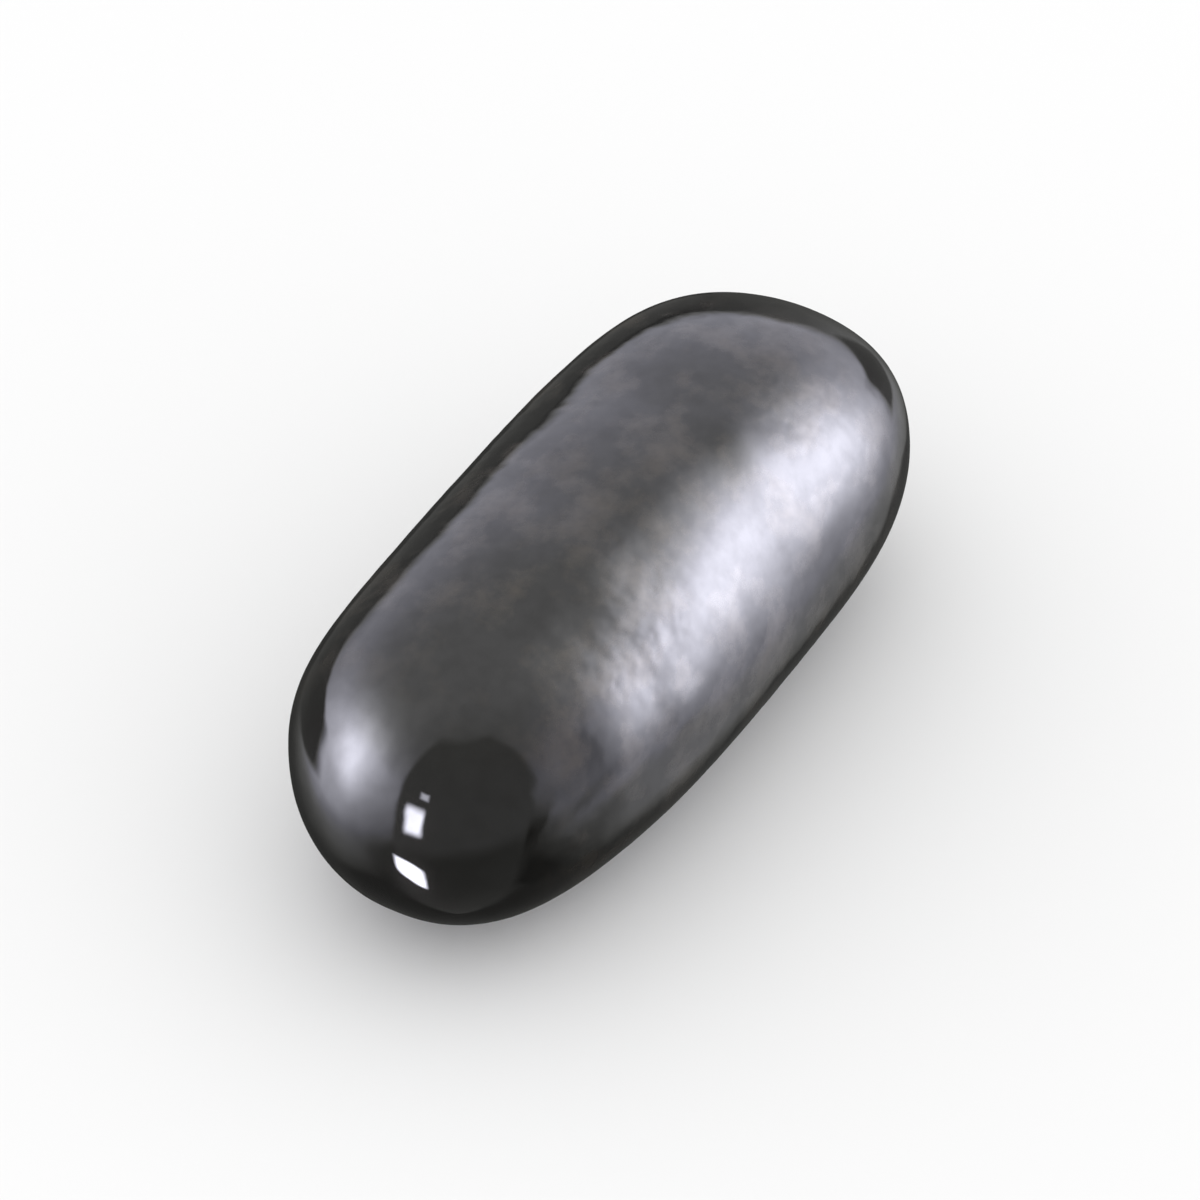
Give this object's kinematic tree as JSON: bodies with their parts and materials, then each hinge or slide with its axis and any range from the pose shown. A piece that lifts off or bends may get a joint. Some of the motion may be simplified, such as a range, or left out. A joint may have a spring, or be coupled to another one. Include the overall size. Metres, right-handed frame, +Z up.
{
  "type": "chocolate dragee",
  "caption": "Long, blunt sweet with a smooth, high-gloss dark chocolate coat; round ends, a slightly bowed body and a small flat resting spot below.",
  "frame": {"origin": "on the surface that the dragee rests on, below the middle of its bounding box", "axes": "+X along the length to the far end, +Y towards the straighter flank, +Z up"},
  "size_m": [0.036, 0.0158, 0.0142],
  "materials": {
    "glaze": "near-black dark chocolate under a clear confectioner's glaze, polished to a high gloss"
  },
  "bodies": {
    "root": {"dragee": "glaze"}
  },
  "joints": []
}
